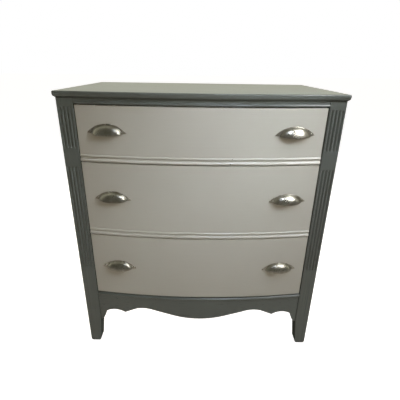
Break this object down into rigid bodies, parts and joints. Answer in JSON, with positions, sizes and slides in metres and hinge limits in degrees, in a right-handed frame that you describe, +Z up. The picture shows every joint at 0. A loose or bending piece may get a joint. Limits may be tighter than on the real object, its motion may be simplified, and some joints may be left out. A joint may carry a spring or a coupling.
{
  "type": "dresser",
  "caption": "Painted bow-front chest of drawers with fluted corner posts on tapered feet, beaded drawer fronts, metal cup pulls and a scalloped apron.",
  "frame": {"origin": "on the floor, under the middle of the box that holds the whole dresser", "axes": "+Z up, the drawers open towards -Y, +X to the right as one faces the dresser's front"},
  "size_m": [0.764, 0.474, 0.84],
  "materials": {
    "case_paint": "satin paint",
    "front_paint": "satin paint",
    "bare_wood": "planed",
    "drawer_wood": "planed",
    "drawer_bottom_board": "plywood",
    "back_board": "hardboard",
    "satin_nickel": "satin nickel plate",
    "nickel_screws": "nickel plate",
    "steel_screws": "plain"
  },
  "bodies": {
    "case": {"top_board": "case_paint", "front_post_left": "case_paint", "front_post_right": "case_paint", "rear_post_left": "case_paint", "rear_post_right": "case_paint", "side_panel_left": "case_paint", "side_panel_right": "case_paint", "top_rail": "case_paint", "upper_divider": "case_paint", "lower_divider": "case_paint", "bottom_rail": "case_paint", "apron": "case_paint", "apron_block_left": "bare_wood", "apron_block_right": "bare_wood", "back_panel": "back_board", "rear_rail_top": "bare_wood", "rear_rail_bottom": "bare_wood", "kicker_left": "bare_wood", "kicker_right": "bare_wood", "upper_runner_left": "bare_wood", "upper_runner_right": "bare_wood", "upper_guide_left": "bare_wood", "upper_guide_right": "bare_wood", "middle_runner_left": "bare_wood", "middle_runner_right": "bare_wood", "middle_guide_left": "bare_wood", "middle_guide_right": "bare_wood", "lower_runner_left": "bare_wood", "lower_runner_right": "bare_wood", "lower_guide_left": "bare_wood", "lower_guide_right": "bare_wood", "drawer_stop_left": "bare_wood", "drawer_stop_right": "bare_wood", "top_screws": "steel_screws", "back_nails": "steel_screws"},
    "upper_drawer": {"upper_drawer_front": "front_paint", "upper_drawer_side_left": "drawer_wood", "upper_drawer_side_right": "drawer_wood", "upper_drawer_back": "drawer_wood", "upper_drawer_bottom": "drawer_bottom_board", "upper_pull_left": "satin_nickel", "upper_pull_right": "satin_nickel", "upper_pull_screws": "nickel_screws"},
    "middle_drawer": {"middle_drawer_front": "front_paint", "middle_drawer_side_left": "drawer_wood", "middle_drawer_side_right": "drawer_wood", "middle_drawer_back": "drawer_wood", "middle_drawer_bottom": "drawer_bottom_board", "middle_pull_left": "satin_nickel", "middle_pull_right": "satin_nickel", "middle_pull_screws": "nickel_screws"},
    "lower_drawer": {"lower_drawer_front": "front_paint", "lower_drawer_side_left": "drawer_wood", "lower_drawer_side_right": "drawer_wood", "lower_drawer_back": "drawer_wood", "lower_drawer_bottom": "drawer_bottom_board", "lower_pull_left": "satin_nickel", "lower_pull_right": "satin_nickel", "lower_pull_screws": "nickel_screws"}
  },
  "joints": [
    {"name": "upper_drawer_slide", "type": "slide", "parent": "case", "child": "upper_drawer", "axis": [0, -1, 0], "range_m": [0, 0.3]},
    {"name": "middle_drawer_slide", "type": "slide", "parent": "case", "child": "middle_drawer", "axis": [0, -1, 0], "range_m": [0, 0.3]},
    {"name": "lower_drawer_slide", "type": "slide", "parent": "case", "child": "lower_drawer", "axis": [0, -1, 0], "range_m": [0, 0.3]}
  ]
}
